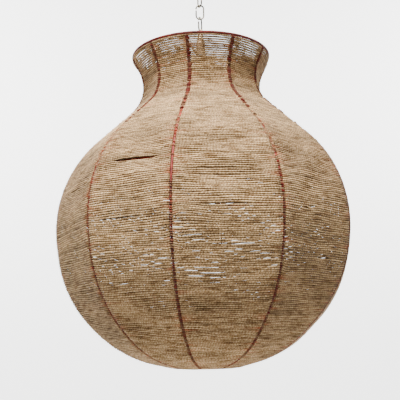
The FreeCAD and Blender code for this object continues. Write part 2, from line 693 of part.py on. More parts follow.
def make_rib(index):
    """A rib of bent wire: its outline swept by its section and turned to its place."""
    label = "rib_%02d" % (index + 1)
    angle = rib_angle(index)
    top_gap = "sizes.rim_wire_radius - sizes.weld_depth"
    foot_gap = "sizes.rib_wire_radius - sizes.weld_depth"
    outline = draw_outline(label + "_outline", angle, top_gap, foot_gap)
    start = outline.Geometry[0]
    section = doc.addObject("Part::Circle", label + "_section")
    along = Vector(start.EndPoint.x - start.StartPoint.x, 0, start.EndPoint.y - start.StartPoint.y)
    section.Placement.Rotation = Rotation(Vector(0, 0, 1), along)
    bind(section, Radius="sizes.rib_wire_radius")
    bind(section, Placement__Base__x=label + "_outline.Constraints.top_across")
    top_level = "levels.widest_level * 1mm + %s_outline.Constraints.top_along" % label
    bind(section, Placement__Base__z=top_level)
    rib = doc.addObject("Part::Sweep", label)
    rib.Sections = [section]
    rib.Spine = (outline, [])
    rib.Solid = True
    rib.Placement = Placement(Vector(0, 0, 0), Rotation(Vector(0, 0, 1), angle))
    keep(rib, label)
    return outline


def make_ring(label, radius, wire, level):
    """A welded wire ring round the Z axis."""
    ring = primitive("Torus", label, Radius1=radius, Radius2=wire, Placement__Base__z=level)
    keep(ring, label)


def outline_radius(outline, level):
    """The outline's distance from the axis at a level."""
    far = 2 * number("sizes.shoulder_corner_radius")
    line = Part.makeLine(Vector(0, 0, level), Vector(far, 0, level))
    return outline.Shape.distToShape(line)[1][0][0].x


def make_belly_hoop(outlines):
    """A hoop of straight rods from rib to rib, so that it lies behind the flat rows of twine."""
    level = number("levels.hoop_level")
    wire = number("sizes.rib_wire_radius")
    inset = 2 * wire - number("sizes.weld_depth")
    corners = []
    for index, outline in enumerate(outlines):
        radius = outline_radius(outline, level) - inset
        turn = math.radians(rib_angle(index))
        corners.append(Vector(radius * math.cos(turn), radius * math.sin(turn), level))
    solids = []
    for index, corner in enumerate(corners):
        span = corners[(index + 1) % len(corners)] - corner
        solids.append(Part.makeCylinder(wire, span.Length, corner, span))
        solids.append(Part.makeSphere(wire, corner))
    hoop = doc.addObject("Part::Feature", "belly_hoop")
    hoop.Shape = solids[0].fuse(solids[1:])
    hoop.Placement = Placement()
    keep(hoop, "belly_hoop")


# ---------------------------------------------------------------- twine


def twine_outline(index):
    """The outline that the twine lies on at a rib, clear of the rim ring and of the base ring."""
    top_gap = "sizes.rim_wire_radius + sizes.twine_gap + sizes.twine_thickness / 2"
    half_turn = "(180 / sizes.rib_count + sizes.widest_lean)"
    ring_edge = "(sizes.base_ring_radius + sizes.rib_wire_radius + sizes.twine_gap)"
    foot_gap = "%s / cos(%s) - sizes.base_ring_radius + sizes.twine_gap" % (ring_edge, half_turn)
    return draw_outline("twine_outline_%02d" % (index + 1), rib_angle(index), top_gap, foot_gap)


def twine_section(outline, name, angle, shift):
    """The twine's section in a plane beside a rib, as thick as the wound twine."""
    section = doc.addObject("Part::Offset2D", name)
    section.Source = outline
    section.Mode = "Skin"
    section.Fill = True
    bind(section, Value="sizes.twine_thickness")
    turn = math.radians(angle)
    aside = Vector(-math.sin(turn), math.cos(turn), 0) * shift
    section.Placement = Placement(aside, Rotation(Vector(0, 0, 1), angle))
    return section


def make_twine():
    """Twine runs straight from rib to rib, so each panel is ruled between two ribs' outlines."""
    count = int(number("sizes.rib_count"))
    outlines = [twine_outline(index) for index in range(count)]
    beside = number("sizes.rib_wire_radius + sizes.twine_gap")
    for index in range(count):
        label = "twine_panel_%02d" % (index + 1)
        following = (index + 1) % count
        full_turn = 0 if following else 360
        first = twine_section(outlines[index], label + "_start", rib_angle(index), beside)
        last = twine_section(outlines[following], label + "_end", rib_angle(following) + full_turn, -beside)
        panel = doc.addObject("Part::Loft", label)
        panel.Sections = [first, last]
        panel.Solid = True
        panel.Ruled = True
        keep(panel, label)


# ---------------------------------------------------------------- lampholder and bulb


def make_lampholder():
    """Cap, shell, ceramic insert with its terminals, screw sleeve and centre contact."""
    inner = "sizes.shell_radius - sizes.cap_wall"
    turned_body(
        "holder_cap",
        [
            ("sizes.nipple_radius + sizes.thread_clearance", "sizes.cap_length"),
            ("sizes.nipple_radius + sizes.thread_clearance", "sizes.cap_length - sizes.nipple_into_cap"),
            ("sizes.nipple_radius + sizes.cap_wall + 1", "sizes.cap_length - sizes.nipple_into_cap"),
            (inner, "sizes.cap_length / 3"),
            (inner, "0"),
            ("sizes.shell_radius", "0"),
            ("sizes.shell_radius", "sizes.cap_length / 2"),
            ("sizes.cap_top_radius", "sizes.cap_length"),
        ],
        "levels.cap_foot",
    )
    turned_body(
        "holder_shell",
        [
            (inner, "0"),
            ("sizes.shell_radius", "0"),
            ("sizes.shell_radius", "sizes.shell_length"),
            (inner, "sizes.shell_length"),
        ],
        "levels.shell_foot",
    )
    insert = new_body("holder_insert", "levels.insert_foot")
    disc = sketch_in(insert, "XY_Plane", "insert_disc")
    draw_circle(disc, inner + " - sizes.insert_gap", name="outside")
    hole_offset = "sizes.insert_wire_hole_offset"
    draw_circle(disc, "sizes.insert_wire_hole_radius", y=hole_offset, name="first_hole")
    draw_circle(disc, "sizes.insert_wire_hole_radius", y="-" + hole_offset, name="second_hole")
    pad(insert, disc, "sizes.insert_length")
    screws = []
    for side, sign in (("left", "-"), ("right", "")):
        screws.append(
            cylinder(
                "terminal_" + side,
                "sizes.terminal_radius",
                "sizes.terminal_length",
                "levels.cap_foot",
                Placement__Base__x=sign + "sizes.insert_wire_hole_offset",
            )
        )
    keep(combine("MultiFuse", "terminal_screws", *screws), "terminal_screws")
    turned_body(
        "screw_sleeve",
        [
            ("sizes.sleeve_bore_radius", "0"),
            ("sizes.sleeve_bore_radius + sizes.sleeve_wall", "0"),
            ("sizes.sleeve_bore_radius + sizes.sleeve_wall", "sizes.sleeve_length"),
            ("sizes.sleeve_bore_radius", "sizes.sleeve_length"),
        ],
        "levels.sleeve_foot",
    )
    strip = primitive(
        "Box",
        "contact_strip",
        Length="sizes.spring_contact_length",
        Width="sizes.spring_contact_width",
        Height="sizes.spring_contact_thickness",
        Placement__Base__x="-sizes.spring_contact_length / 2",
        Placement__Base__y="-sizes.spring_contact_width / 2",
        Placement__Base__z="levels.insert_foot - sizes.spring_contact_thickness",
    )
    nose = cylinder(
        "contact_nose_pin",
        "sizes.spring_contact_width / 2",
        "levels.insert_foot - levels.contact_nose",
        "levels.contact_nose",
    )
    keep(combine("MultiFuse", "centre_contact", strip, nose), "centre_contact")


def glass_solid(name, inset):
    """The bulb's glass as a solid: a sphere and the cone that meets it and the neck in tangents."""
    neck = "(sizes.bulb_neck_radius - %s)" % inset
    ball = "(sizes.bulb_radius - %s)" % inset
    drop = "sizes.bulb_centre_drop"
    spread = "sqrt(%s^2 + %s^2)" % (neck, drop)
    turn = "(atan2(%s; %s) + acos(%s / %s))" % (neck, drop, ball, spread)
    sphere = primitive("Sphere", name + "_ball", Radius=ball, Placement__Base__z="levels.bulb_middle")
    cone = primitive(
        "Cone",
        name + "_cone",
        Radius1="%s * sin(%s)" % (ball, turn),
        Radius2=neck,
        Height="%s - %s * cos(%s)" % (drop, ball, turn),
        Placement__Base__z="levels.bulb_middle + %s * cos(%s)" % (ball, turn),
    )
    neck_part = cylinder(name + "_neck", neck, "sizes.bulb_neck_in_cap", "levels.bulb_cap_foot")
    return combine("MultiFuse", name, sphere, cone, neck_part)


def make_bulb():
    """An E27 globe bulb: tip contact, insulator, cap and a glass envelope open into the cap."""
    contact = cylinder(
        "bulb_contact",
        "sizes.bulb_contact_radius",
        "sizes.bulb_contact_length",
        "levels.bulb_insulator_top",
    )
    keep(contact, "bulb_contact")
    insulator = primitive(
        "Cone",
        "bulb_insulator",
        Radius1="sizes.bulb_cap_radius - 1",
        Radius2="sizes.bulb_contact_radius + 1",
        Height="sizes.bulb_insulator_length",
        Placement__Base__z="levels.bulb_cap_top",
    )
    keep(insulator, "bulb_insulator")
    inner = "sizes.bulb_cap_radius - sizes.bulb_cap_wall"
    turned_body(
        "bulb_cap",
        [
            (inner, "0"),
            ("sizes.bulb_cap_radius", "0"),
            ("sizes.bulb_cap_radius", "sizes.bulb_cap_length"),
            ("0", "sizes.bulb_cap_length"),
            ("0", "sizes.bulb_cap_length - sizes.bulb_cap_wall"),
            (inner, "sizes.bulb_cap_length - sizes.bulb_cap_wall"),
        ],
        "levels.bulb_cap_foot",
    )
    outside = glass_solid("glass_outside", "0")
    inside = glass_solid("glass_inside", "sizes.bulb_wall")
    keep(combine("Cut", "bulb_glass", outside, inside), "bulb_glass")


# ---------------------------------------------------------------- the model

make_ceiling_plate()
make_ceiling_hook()
make_chain_link("chain_link_3", "levels.upper_link", "sizes.upper_link_turn")
make_chain_link("chain_link_2", "levels.middle_link", "sizes.middle_link_turn")
make_chain_link("chain_link_1", "levels.lower_link", "sizes.lower_link_turn")
make_hanging_loop()
make_nipple()
make_nut("upper_nut", "levels.upper_nut_foot")
make_nut("lower_nut", "levels.lower_nut_foot")
make_washer("upper_washer", "levels.hub_top")
make_washer("lower_washer", "levels.lower_washer_foot")
make_hub()
make_arms()
make_ring("rim_ring", "sizes.rim_radius", "sizes.rim_wire_radius", "levels.rim_level")
make_ring("base_ring", "sizes.base_ring_radius", "sizes.rib_wire_radius", "levels.base_level")
doc.recompute()
rib_outlines = [make_rib(index) for index in range(int(number("sizes.rib_count")))]
doc.recompute()
make_belly_hoop(rib_outlines)
make_twine()
make_lampholder()
make_bulb()
doc.recompute()

# ---------------------------------------------------------------- checks and files

for item in doc.Objects:
    if "Invalid" in item.State or "Error" in item.State:
        raise RuntimeError("%s did not build: %s" % (item.Label, item.State))

os.makedirs("parts", exist_ok=True)
for item in parts:
    if item.Shape.isNull() or not item.Shape.isValid() or item.Shape.Volume <= 0:
        raise RuntimeError("%s has no sound shape" % item.Label)
for item in parts:
    item.Shape.exportStep("parts/%s.step" % item.Label)
print("%d sub-parts written" % len(parts))
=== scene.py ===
import math

import bmesh
import bpy
import numpy as np
from bpy.props import FloatProperty, FloatVectorProperty, IntProperty, PointerProperty
from mathutils import Matrix, Vector
from mathutils.bvhtree import BVHTree


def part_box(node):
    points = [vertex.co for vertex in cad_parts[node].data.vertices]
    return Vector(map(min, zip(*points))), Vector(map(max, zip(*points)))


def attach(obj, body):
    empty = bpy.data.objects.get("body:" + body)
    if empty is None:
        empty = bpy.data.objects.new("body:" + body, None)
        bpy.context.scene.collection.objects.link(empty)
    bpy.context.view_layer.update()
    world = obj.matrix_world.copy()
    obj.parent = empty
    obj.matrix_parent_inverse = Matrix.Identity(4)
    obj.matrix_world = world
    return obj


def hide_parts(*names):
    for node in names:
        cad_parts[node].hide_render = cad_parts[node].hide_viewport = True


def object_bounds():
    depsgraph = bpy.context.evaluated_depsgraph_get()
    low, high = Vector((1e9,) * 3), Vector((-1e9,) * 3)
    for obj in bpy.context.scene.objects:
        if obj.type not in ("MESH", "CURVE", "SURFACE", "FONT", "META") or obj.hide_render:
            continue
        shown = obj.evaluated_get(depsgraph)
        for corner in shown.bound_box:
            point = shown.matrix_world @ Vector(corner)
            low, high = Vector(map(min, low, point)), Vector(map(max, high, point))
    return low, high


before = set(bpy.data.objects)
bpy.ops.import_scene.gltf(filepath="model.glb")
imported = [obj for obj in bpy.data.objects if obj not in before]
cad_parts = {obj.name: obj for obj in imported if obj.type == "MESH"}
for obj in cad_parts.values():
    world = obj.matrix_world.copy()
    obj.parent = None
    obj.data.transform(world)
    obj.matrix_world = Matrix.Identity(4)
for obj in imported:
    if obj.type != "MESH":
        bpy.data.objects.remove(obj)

CAD_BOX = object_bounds()

# A pendant lantern of natural jute twine wound in rows round a red wire frame, on a steel chain.
# Metres. +Z is up and the origin is the middle of the ceiling plate's upper face.

bl_info = {
    "name": "Twine Pendant Lantern",
    "version": (1, 0, 0),
    "blender": (4, 5, 0),
    "location": "3D View > Sidebar > Lantern",
    "description": "Finishes a wire-framed pendant lantern with wound jute twine",
    "category": "Object",
}

MM = 0.001
RIB_COUNT = 10
RIBS = ["rib_%02d" % (index + 1) for index in range(RIB_COUNT)]
PANELS = ["twine_panel_%02d" % (index + 1) for index in range(RIB_COUNT)]
ARMS = ["spider_arm_1", "spider_arm_2", "spider_arm_3"]

# ---------------------------------------------------------------- sizes and colours to change


class TwineSettings(bpy.types.PropertyGroup):
    """Sizes and colours of the wound twine."""

    pitch: FloatProperty(
        name="Row pitch",
        description="Distance from one row of twine to the next, along the wound surface",
        default=3.3 * MM,
        min=2 * MM,
        unit="LENGTH",
    )
    thickness: FloatProperty(
        name="Thickness",
        description="Diameter of the twine",
        default=3.12 * MM,
        min=1 * MM,
        unit="LENGTH",
    )
    twist: FloatProperty(
        name="Twist",
        description="Length of one turn of the twine's two plies",
        default=9 * MM,
        min=2 * MM,
        unit="LENGTH",
    )
    looseness: FloatProperty(
        name="Looseness",
        description="How far a row wanders from its even place",
        default=0.55 * MM,
        min=0,
        unit="LENGTH",
    )
    colour: FloatVectorProperty(
        name="Colour",
        description="Natural jute, sRGB",
        default=(0.77, 0.643, 0.475),
        min=0,
        max=1,
        size=3,
        subtype="COLOR_GAMMA",
    )


class FrameSettings(bpy.types.PropertyGroup):
    """Sizes and colours of the wire frame's finish."""

    paint: FloatVectorProperty(
        name="Paint",
        description="Oxide red of the frame's paint, sRGB",
        default=(0.56, 0.17, 0.11),
        min=0,
        max=1,
        size=3,
        subtype="COLOR_GAMMA",
    )
    loop_thickness: FloatProperty(
        name="Loop thickness",
        description="Diameter of the twine where it is pulled tight round a rib",
        default=1.9 * MM,
        min=0.5 * MM,
        unit="LENGTH",
    )


class StageSettings(bpy.types.PropertyGroup):
    """Camera, and the seed of everything that is uneven."""

    distance: FloatProperty(
        name="Camera distance",
        description="From the lantern's axis to the camera",
        default=1.23415,
        min=0.1,
        unit="LENGTH",
    )
    lens: FloatProperty(
        name="Lens",
        description="Focal length on a 36 mm sensor, in millimetres",
        default=66.44,
        min=10,
    )
    seed: IntProperty(
        name="Seed",
        description="Starting number of everything that is uneven",
        default=7,
    )


# ---------------------------------------------------------------- colour and node helpers


def linear(colour):
    """An sRGB hex string or triple as linear RGBA."""
    if isinstance(colour, str):
        colour = [int(colour[index : index + 2], 16) / 255 for index in (1, 3, 5)]
    turned = [c / 12.92 if c <= 0.04045 else ((c + 0.055) / 1.055) ** 2.4 for c in colour]
    return (*turned, 1.0)


def node(tree, kind, settings=None, links=None):
    """Adds a node.

    Settings are properties, input values, or a colour ramp's stops as (place, sRGB colour).
    Links are input to (node, output)."""
    added = tree.nodes.new(kind)
    for name, value in (settings or {}).items():
        if name == "stops":
            elements = added.color_ramp.elements
            while len(elements) < len(value):
                elements.new(0.5)
            for element, (place, colour) in zip(elements, value):
                element.position = place
                element.color = linear(colour)
        elif isinstance(name, int) or name in added.inputs:
            added.inputs[name].default_value = value
        else:
            setattr(added, name, value)
    for name, (source, output) in (links or {}).items():
        tree.links.new(source.outputs[output], added.inputs[name])
    return added


def new_material(name, **principled):
    """A material with a Principled shader and its socket values: material, tree and shader."""
    material = bpy.data.materials.new(name)
    material.use_nodes = True
    tree = material.node_tree
    shader = tree.nodes["Principled BSDF"]
    for key, value in principled.items():
        shader.inputs[key.replace("_", " ")].default_value = value
    return material, tree, shader


def paint(node_name, material):
    """Gives a frame node its finish."""
    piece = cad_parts[node_name]
    piece.data.materials.clear()
    piece.data.materials.append(material)
    return piece


# ---------------------------------------------------------------- materials


def jute_material(name, settings, soaked):
    """Two-ply natural jute twine, matt and fibrous, flecked with husk; painted shade in its
    grooves.
    """
    material, tree, shader = new_material(
        name, Roughness=0.9, Specular_IOR_Level=0.12, Sheen_Weight=0.04
    )
    fibres_per_metre = 520.0
    stems_per_metre = 38.0
    base = settings.colour
    lay = node(tree, "ShaderNodeUVMap", {"uv_map": "lay"})
    along = node(tree, "ShaderNodeSeparateXYZ", links={0: (lay, "UV")})
    # the two plies show as slanting ridges, one every half twist
    turns = node(
        tree, "ShaderNodeMath", {"operation": "MULTIPLY", 1: 2 / settings.twist}, {0: (along, "X")}
    )
    slant = node(tree, "ShaderNodeMath", {"operation": "ADD"}, {0: (turns, 0), 1: (along, "Y")})
    phase = node(tree, "ShaderNodeMath", {"operation": "MULTIPLY", 1: 2 * math.pi}, {0: (slant, 0)})
    ply = node(tree, "ShaderNodeMath", {"operation": "COSINE"}, {0: (phase, 0)})
    ridge = node(
        tree, "ShaderNodeMapRange", {"From Min": -1.0, "From Max": 0.6}, {"Value": (ply, 0)}
    )
    place = node(tree, "ShaderNodeTexCoord")
    # fibres: real ones are under 0.1 mm, so they are drawn as flecks of about 2 mm down to 0.25 mm
    fibre = node(
        tree,
        "ShaderNodeTexNoise",
        {"Scale": fibres_per_metre, "Detail": 3.0, "Roughness": 0.7},
        {"Vector": (place, "Object")},
    )
    dark = (base[0] * 0.74, base[1] * 0.71, base[2] * 0.67)
    pale = tuple(min(1.0, c * 1.12) for c in base)
    fibre_colour = node(
        tree,
        "ShaderNodeValToRGB",
        {"stops": [(0.36, dark), (0.5, tuple(base)), (0.66, pale)]},
        {"Fac": (fibre, "Fac")},
    )
    # the spinning takes up paler and darker stems, about 26 mm of each at a time
    stem = node(
        tree,
        "ShaderNodeTexNoise",
        {"noise_dimensions": "1D", "Scale": stems_per_metre, "Detail": 3.0, "Roughness": 0.66},
        {"W": (along, "X")},
    )
    stem_colour = node(
        tree,
        "ShaderNodeValToRGB",
        {"stops": [(0.34, (0.72, 0.69, 0.65)), (0.5, (0.92, 0.915, 0.91)), (0.62, (1, 1, 1))]},
        {"Fac": (stem, "Fac")},
    )
    stemmed = node(
        tree,
        "ShaderNodeMix",
        {"data_type": "RGBA", "blend_type": "MULTIPLY", 0: 1.0},
        {6: (fibre_colour, "Color"), 7: (stem_colour, "Color")},
    )
    # painted shade in the grooves between the two plies
    painted_ply_shade = node(
        tree,
        "ShaderNodeValToRGB",
        {"stops": [(0.0, (0.86, 0.83, 0.79)), (0.7, (1, 1, 1))]},
        {"Fac": (ridge, 0)},
    )
    ply_shaded = node(
        tree,
        "ShaderNodeMix",
        {"data_type": "RGBA", "blend_type": "MULTIPLY", 0: 1.0},
        {6: (stemmed, 2), 7: (painted_ply_shade, "Color")},
    )
    # painted shade in the crease where one row touches the next
    flank = node(tree, "ShaderNodeAttribute", {"attribute_name": "flank"})
    painted_crease_shade = node(
        tree,
        "ShaderNodeValToRGB",
        {"stops": [(0.35, (1, 1, 1)), (1.0, (0.42, 0.35, 0.28))]},
        {"Fac": (flank, "Fac")},
    )
    crease_shaded = node(
        tree,
        "ShaderNodeMix",
        {"data_type": "RGBA", "blend_type": "MULTIPLY", 0: 1.0},
        {6: (ply_shaded, 2), 7: (painted_crease_shade, "Color")},
    )
    # paint from the wire has soaked into the twine in places
    soak = node(tree, "ShaderNodeAttribute", {"attribute_name": "stain"})
    tinted = node(
        tree,
        "ShaderNodeMix",
        {"data_type": "RGBA", 7: linear(soaked)},
        {0: (soak, "Fac"), 6: (crease_shaded, 2)},
    )
    # each length of twine is a little paler or darker than the next; on the rib loops the tone also
    # holds painted shade and light by height
    tone = node(tree, "ShaderNodeAttribute", {"attribute_name": "tone"})
    toned = node(
        tree, "ShaderNodeHueSaturation", links={"Color": (tinted, 2), "Value": (tone, "Fac")}
    )
    tree.links.new(toned.outputs[0], shader.inputs["Base Color"])
    height = node(
        tree,
        "ShaderNodeMath",
        {"operation": "MULTIPLY_ADD", 1: 0.5},
        {0: (fibre, "Fac"), 2: (ridge, 0)},
    )
    bump = node(
        tree, "ShaderNodeBump", {"Strength": 0.7, "Distance": 0.6 * MM}, {"Height": (height, 0)}
    )
    tree.links.new(bump.outputs["Normal"], shader.inputs["Normal"])
    return material


def painted_wire_material(name, red):
    """Steel wire brushed with oxide-red primer: satin, a little streaked.

    It is painted darker and browner near the rim, where the lip faces down, and on the shaded
    belly, and brightest on the lit shoulder between them: painted shade and light."""
    material, tree, shader = new_material(name, Specular_IOR_Level=0.25)
    shaded_length = 500 * MM
    place = node(tree, "ShaderNodeTexCoord")
    # the brush leaves streaks of about 6 mm
    streak = node(
        tree,
        "ShaderNodeTexNoise",
        {"Scale": 160.0, "Detail": 3.0, "Roughness": 0.6},
        {"Vector": (place, "Object")},
    )
    thin = (min(1, red[0] * 1.35), red[1] * 1.5, red[2] * 1.4)
    colour = node(
        tree,
        "ShaderNodeValToRGB",
        {"stops": [(0.3, tuple(c * 0.62 for c in red)), (0.5, red), (0.72, thin)]},
        {"Fac": (streak, "Fac")},
    )
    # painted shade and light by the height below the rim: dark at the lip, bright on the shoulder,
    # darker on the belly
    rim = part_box("rim_ring")[1].z
    parts = node(tree, "ShaderNodeSeparateXYZ", links={0: (place, "Object")})
    below = node(
        tree,
        "ShaderNodeMapRange",
        {"From Min": rim, "From Max": rim - shaded_length},
        {"Value": (parts, "Z")},
    )
    painted_shade_stops = [
        (0.0, (0.66, 0.76, 0.9)),
        (0.10, (0.52, 0.68, 0.85)),
        (0.17, (1, 1, 1)),
        (0.30, (1, 1, 1)),
        (0.45, (0.82, 0.76, 0.8)),
        (0.62, (0.56, 0.70, 0.85)),
    ]
    painted_height_shade = node(tree, "ShaderNodeValToRGB", {"stops": painted_shade_stops}, {"Fac": (below, 0)})
    height_shaded = node(
        tree,
        "ShaderNodeMix",
        {"data_type": "RGBA", "blend_type": "MULTIPLY", 0: 1.0},
        {6: (colour, "Color"), 7: (painted_height_shade, "Color")},
    )
    tree.links.new(height_shaded.outputs[2], shader.inputs["Base Color"])
    gloss = node(
        tree, "ShaderNodeMapRange", {"To Min": 0.42, "To Max": 0.66}, {"Value": (streak, "Fac")}
    )
    tree.links.new(gloss.outputs[0], shader.inputs["Roughness"])
    bump = node(
        tree,
        "ShaderNodeBump",
        {"Strength": 0.35, "Distance": 0.2 * MM},
        {"Height": (streak, "Fac")},
    )
    tree.links.new(bump.outputs["Normal"], shader.inputs["Normal"])
    return material


def worn_metal_material(name, bright, dull, roughness, grain=320.0):
    """A metal dulled in soft patches and bright on what is left. Grain is patches in a metre."""
    material, tree, shader = new_material(name, Metallic=1.0)
    place = node(tree, "ShaderNodeTexCoord")
    haze = node(
        tree,
        "ShaderNodeTexNoise",
        {"Scale": grain, "Detail": 4.0, "Roughness": 0.6},
        {"Vector": (place, "Object")},
    )
    colour = node(
        tree,
        "ShaderNodeValToRGB",
        {"stops": [(0.35, dull), (0.62, bright)]},
        {"Fac": (haze, "Fac")},
    )
    tree.links.new(colour.outputs["Color"], shader.inputs["Base Color"])
    rough = node(
        tree,
        "ShaderNodeMapRange",
        {"To Min": roughness + 0.16, "To Max": roughness - 0.06},
        {"Value": (haze, "Fac")},
    )
    tree.links.new(rough.outputs[0], shader.inputs["Roughness"])
    bump = node(
        tree, "ShaderNodeBump", {"Strength": 0.15, "Distance": 0.1 * MM}, {"Height": (haze, "Fac")}
    )
    tree.links.new(bump.outputs["Normal"], shader.inputs["Normal"])
    return material


def moulded_material(name, main, spot, roughness, grain, bump_strength):
    """A moulded, glazed or painted surface: faintly clouded, with a fine skin.

    Grain is clouds in a metre."""
    material, tree, shader = new_material(name, Roughness=roughness)
    place = node(tree, "ShaderNodeTexCoord")
    cloud = node(
        tree,
        "ShaderNodeTexNoise",
        {"Scale": grain, "Detail": 3.0},
        {"Vector": (place, "Object")},
    )
    colour = node(
        tree,
        "ShaderNodeValToRGB",
        {"stops": [(0.35, spot), (0.65, main)]},
        {"Fac": (cloud, "Fac")},
    )
    tree.links.new(colour.outputs["Color"], shader.inputs["Base Color"])
    bump = node(
        tree,
        "ShaderNodeBump",
        {"Strength": bump_strength, "Distance": 0.1 * MM},
        {"Height": (cloud, "Fac")},
    )
    tree.links.new(bump.outputs["Normal"], shader.inputs["Normal"])
    return material


def frosted_glass_material():
    """Blown glass etched inside: milky, smooth outside, lets light through softly."""
    material, tree, shader = new_material(
        "frosted_blown_glass", Roughness=0.35, Transmission_Weight=0.6, IOR=1.5
    )
    place = node(tree, "ShaderNodeTexCoord")
    # the etching is uneven over about 17 mm
    milk = node(
        tree, "ShaderNodeTexNoise", {"Scale": 60.0, "Detail": 2.0}, {"Vector": (place, "Object")}
    )
    colour = node(
        tree,
        "ShaderNodeValToRGB",
        {"stops": [(0.3, "#ECEAE4"), (0.7, "#F8F7F3")]},
        {"Fac": (milk, "Fac")},
    )
    tree.links.new(colour.outputs["Color"], shader.inputs["Base Color"])
    return material


# ---------------------------------------------------------------- the wound surface


LINE_LEVELS = 700  # heights at which a panel's outside is felt for
FAR_OUTSIDE = 0.6  # from the axis, past the widest part
BESIDE_RIB = 2.2  # millimetres to one side, clear of the rib


class RibLine:
    """The line that the rows lie on at one rib, read from the frame's own closed panels.

    It runs down the middle of the twine's thickness, from the rim ring to the foot."""

    def __init__(self, index, thickness):
        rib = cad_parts[RIBS[index]].data
        total = sum((vertex.co.xy for vertex in rib.vertices), Vector((0, 0)))
        self.out = Vector((total.x, total.y, 0)).normalized()
        self.side = Vector((0, 0, 1)).cross(self.out)
        name = PANELS[index]
        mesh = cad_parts[name].data
        tree = BVHTree.FromPolygons(
            [vertex.co for vertex in mesh.vertices],
            [tuple(face.vertices) for face in mesh.polygons],
        )
        low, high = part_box(name)
        levels = np.linspace(high.z - 1.6 * MM, low.z + 0.2 * MM, LINE_LEVELS)
        outer = []
        for level in levels:
            start = self.out * FAR_OUTSIDE + self.side * BESIDE_RIB * MM + Vector((0, 0, level))
            hit = tree.ray_cast(start, -self.out)[0]
            if hit is not None:
                outer.append((hit.dot(self.out), level))
        outer = np.array(outer)
        run = np.gradient(outer, axis=0)
        run /= np.linalg.norm(run, axis=1)[:, None]
        self.normals = np.stack([-run[:, 1], run[:, 0]], axis=1)
        self.line = outer - self.normals * (thickness / 2)
        # the first row is pressed up against the rim ring
        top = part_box("rim_ring")[0].z - thickness / 2 - 0.1 * MM
        reach = (top - self.line[0, 1]) / -run[0, 1]
        self.line = np.vstack([self.line[0] - run[0] * reach, self.line])
        self.normals = np.vstack([self.normals[:1], self.normals])
        steps = np.linalg.norm(np.diff(self.line, axis=0), axis=1)
        self.lengths = np.concatenate([[0], np.cumsum(steps)])
        self.length = self.lengths[-1]

    def at(self, length):
        """(distance from the axis, height) and outward normal at a length down the line."""
        place = [np.interp(length, self.lengths, self.line[:, k]) for k in (0, 1)]
        normal = [np.interp(length, self.lengths, self.normals[:, k]) for k in (0, 1)]
        return place, normal

    def point(self, length, aside=0.0, lift=0.0):
        """A point in space beside the rib, lifted off the line."""
        place, normal = self.at(length)
        upright = Vector((0, 0, place[1] + lift * normal[1]))
        return self.out * (place[0] + lift * normal[0]) + self.side * aside + upright


_lines = {}


def rib_line(index):
    """The rows' line at a rib, worked out once."""
    index %= RIB_COUNT
    if index not in _lines:
        _lines[index] = RibLine(index, bpy.context.scene.lantern_twine.thickness)
    return _lines[index]


def row_count():
    """Number of rows, the same in each panel because the winding goes round and round."""
    twine = bpy.context.scene.lantern_twine
    mean = sum(rib_line(index).length for index in range(RIB_COUNT)) / RIB_COUNT
    return int(mean / twine.pitch)


# Places where rows have been pushed apart: panel, height above the foot's lowest row, where along
# the row from 0 to 1, half of its length, and how far it opens, in millimetres.
SLITS = (
    (9, 301.8, 0.53, 38, 4.3),
    (0, 281, 0.30, 45, 1.3),
    (0, 272, 0.42, 40, 1.1),
    (0, 228, 0.55, 50, 1.2),
    (0, 174, 0.50, 40, 1.1),
    (0, 136, 0.60, 30, 1.1),
    (9, 216, 0.40, 36, 1.4),
    (9, 198, 0.55, 30, 1.2),
    (8, 275, 0.50, 18, 2.0),
    (8, 448, 0.35, 16, 1.7),
    (8, 439, 0.40, 12, 1.4),
    (1, 230, 0.35, 16, 2.2),
    (1, 160, 0.62, 15, 2.6),
    (1, 430, 0.25, 12, 1.5),
    (3, 242, 0.45, 30, 1.8),
    (4, 190, 0.60, 40, 1.6),
    (5, 286, 0.35, 34, 2.0),
    (6, 152, 0.55, 30, 1.6),
    (7, 224, 0.40, 30, 1.8),
)


ROW_REACH = 3.4 * MM  # a slit's push dies away by rows of about this height
SLIT_REACH = 6  # and has ended after this many
SAG_ABOVE, SAG_BELOW = -0.18, 0.82  # shares of a slit's width: the rows below it sag away


def opening(panel, height, along, width):
    """How far a row is pushed down by the slits near it, in metres."""
    push = 0.0
    for place, level, middle, half, wide in SLITS:
        if place == panel:
            away = (height - level * MM) / ROW_REACH
            reach = abs(along - middle) * width / (half * MM)
            if reach < 1 and abs(away) < SLIT_REACH:
                give = SAG_ABOVE if away > 0 else SAG_BELOW
                push += give * wide * MM * (1 - reach**4) * math.exp(-abs(away) / 4)
    return push


def strands(name, lines, radius, closed=False):
    """Six-sided strands along lines of (points, thickness factors), as one mesh.

    The ends of open strands are filled."""
    curve = bpy.data.curves.new(name, "CURVE")
    curve.dimensions = "3D"
    curve.bevel_depth = radius
    curve.bevel_resolution = 1
    for points, factors in lines:
        spline = curve.splines.new("POLY")
        spline.points.add(len(points) - 1)
        places = np.ones((len(points), 4), np.float32)
        places[:, :3] = points
        spline.points.foreach_set("co", places.ravel())
        spline.points.foreach_set("radius", np.asarray(factors, np.float32))
        spline.use_cyclic_u = closed
    holder = bpy.data.objects.new(name + "_path", curve)
    bpy.context.scene.collection.objects.link(holder)
    bpy.context.view_layer.update()
    evaluated = holder.evaluated_get(bpy.context.evaluated_depsgraph_get())
    mesh = bpy.data.meshes.new_from_object(evaluated)
    bpy.data.objects.remove(holder)
    mesh.name = name
    if not closed:
        ends = bmesh.new()
        ends.from_mesh(mesh)
        open_edges = [edge for edge in ends.edges if edge.is_boundary]
        bmesh.ops.edgeloop_fill(ends, edges=open_edges)
        ends.to_mesh(mesh)
        ends.free()
    piece = bpy.data.objects.new(name, mesh)
    bpy.context.scene.collection.objects.link(piece)
    return piece


